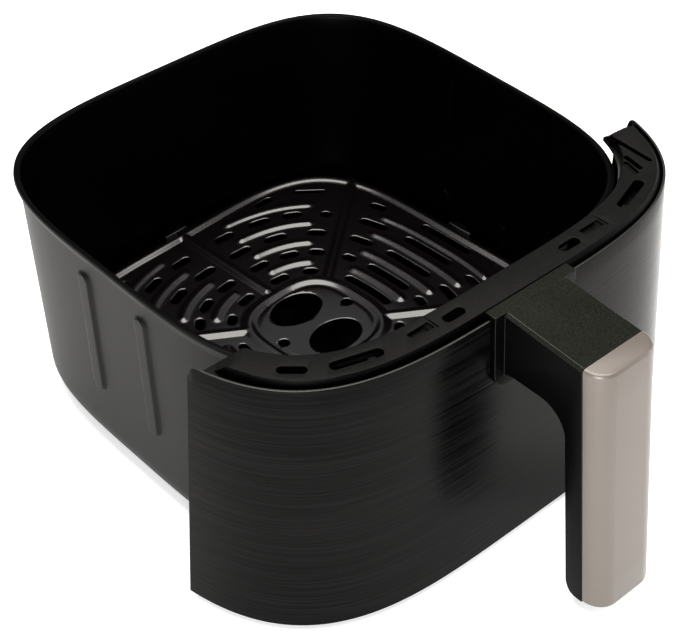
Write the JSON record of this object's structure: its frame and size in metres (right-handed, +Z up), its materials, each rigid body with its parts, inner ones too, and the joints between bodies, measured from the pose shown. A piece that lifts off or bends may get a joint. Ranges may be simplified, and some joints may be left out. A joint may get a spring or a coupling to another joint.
{
  "type": "air fryer basket drawer",
  "caption": "Pull-out basket drawer of an air fryer: square non-stick pan, lift-out crisper plate, plastic collar, curved brushed front and angled handle.",
  "frame": {"origin": "centre of the drawer's bounding box in plan, on the surface the pan stands on", "axes": "+Z up, -Y towards the handle, +Y towards the back of the pan, +X to the right seen from the handle"},
  "size_m": [0.2844, 0.3278, 0.1359],
  "materials": {
    "pan_coating": "dark grey non-stick coating, satin outside",
    "plate_coating": "glossy black non-stick coating",
    "silicone": "matte",
    "black_plastic": "fine moulded grain",
    "brushed_black": "black brushed along the front",
    "champagne": "satin champagne",
    "zinc": "zinc plated"
  },
  "bodies": {
    "drawer": {"pan": "pan_coating", "fascia_skin": "brushed_black", "fascia_carrier": "black_plastic", "collar": "black_plastic", "collar_clip_left": "black_plastic", "collar_clip_right": "black_plastic", "handle_body": "black_plastic", "handle_inlay": "champagne", "pan_bracket": "zinc", "carrier_screw_1": "zinc", "carrier_screw_2": "zinc", "carrier_screw_3": "zinc", "carrier_screw_4": "zinc", "handle_screw_left": "zinc", "handle_screw_right": "zinc", "collar_screw_left": "zinc", "collar_screw_right": "zinc"},
    "plate": {"crisper_plate": "plate_coating", "bumper_right": "silicone", "bumper_back": "silicone", "bumper_left": "silicone", "bumper_front": "silicone"}
  },
  "joints": [
    {"name": "plate_lift", "type": "slide", "parent": "drawer", "child": "plate", "axis": [0, 0, 1], "range_m": [0, 0.15]}
  ]
}
